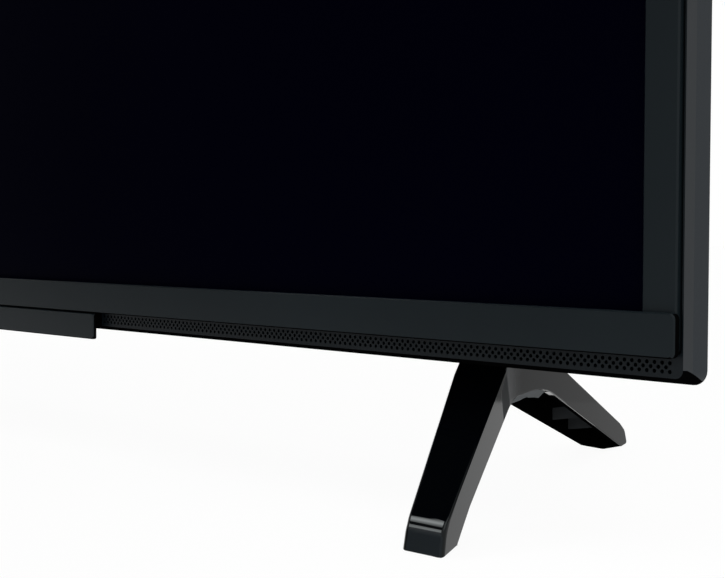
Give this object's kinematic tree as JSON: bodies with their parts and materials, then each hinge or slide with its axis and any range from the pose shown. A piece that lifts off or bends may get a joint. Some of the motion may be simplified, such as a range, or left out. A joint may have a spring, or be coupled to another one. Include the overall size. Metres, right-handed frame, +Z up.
{
  "type": "flat screen tv",
  "caption": "Slim flat screen TV with a narrow dark bezel, proud trim bar, perforated speaker strips, centre control block, deep-bottomed back and inverted-V feet.",
  "frame": {"origin": "on the floor under the middle of the feet's footprint, on the screen's centre line", "axes": "+Z up, the screen faces -Y, +X to the right of someone who looks at the screen"},
  "size_m": [0.904, 0.2148, 0.5814],
  "materials": {
    "frame_black": "fine satin moulding",
    "bezel_black": "fine-grained texture",
    "bar_black": "fine-grained texture with soft edges",
    "grille_black": "perforated satin moulding",
    "screen_dark": "dark anti-glare glass, off",
    "cover_black": "coarse matt grain",
    "foot_black": "polished moulding",
    "pad_rubber": "matt",
    "foam": "closed-cell foam",
    "inner_plastic": "moulded",
    "white_sheet": "bright white",
    "clear_plastic": "clear moulding",
    "tray_steel": "pressed galvanised sheet",
    "steel": "plated",
    "dark_screw": "black zinc",
    "heat_metal": "plain extrusion",
    "board_green": "solder resist",
    "board_tan": "paper laminate",
    "part_black": "moulded package",
    "part_blue": "sleeved can",
    "core_grey": "ferrite and tape",
    "lead_grey": "soft insulation",
    "ribbon_white": "flat cable",
    "socket_metal": "plated shell",
    "lens_red": "dark infrared window"
  },
  "bodies": {
    "cabinet": {"front_frame": "frame_black", "grille_left": "grille_black", "grille_right": "grille_black", "bezel_ring": "bezel_black", "lower_bar": "bar_black", "control_block": "bar_black", "ir_lens": "lens_red", "tact_switch": "part_black", "control_board": "board_green", "ir_receiver": "part_black", "cell_gasket": "foam", "lcd_cell": "screen_dark", "panel_frame": "inner_plastic", "optical_films": "white_sheet", "diffuser_plate": "white_sheet", "support_pins": "white_sheet", "led_bars": "white_sheet", "led_lenses": "clear_plastic", "reflector_sheet": "white_sheet", "back_tray": "tray_steel", "panel_board": "board_green", "main_board": "board_green", "power_board": "board_tan", "main_chip": "part_black", "heat_sink": "heat_metal", "tuner_can": "socket_metal", "transformer": "core_grey", "bulk_capacitor": "part_blue", "switch_sink": "heat_metal", "small_capacitors": "part_black", "panel_ribbon": "ribbon_white", "power_harness": "ribbon_white", "speaker_leads": "lead_grey", "control_lead": "lead_grey", "speaker_left": "inner_plastic", "speaker_right": "inner_plastic", "speaker_drivers": "part_black", "speaker_gaskets": "foam", "lan_socket": "socket_metal", "usb_socket": "socket_metal", "hdmi_sockets": "socket_metal", "headphone_jack": "part_black", "aerial_socket": "socket_metal", "mains_inlet": "part_black", "mount_columns": "steel", "rear_cover": "cover_black", "cover_screws": "dark_screw", "board_screws": "steel", "foot_left": "foot_black", "foot_right": "foot_black", "foot_screws": "steel", "foot_pads": "pad_rubber"},
    "power_key": {"power_button": "bar_black", "switch_plunger": "inner_plastic"}
  },
  "joints": [
    {"name": "power_press", "type": "slide", "parent": "cabinet", "child": "power_key", "axis": [0, 0, 1], "range_m": [0, 0.0008], "stiffness_N_per_m": 1500}
  ]
}
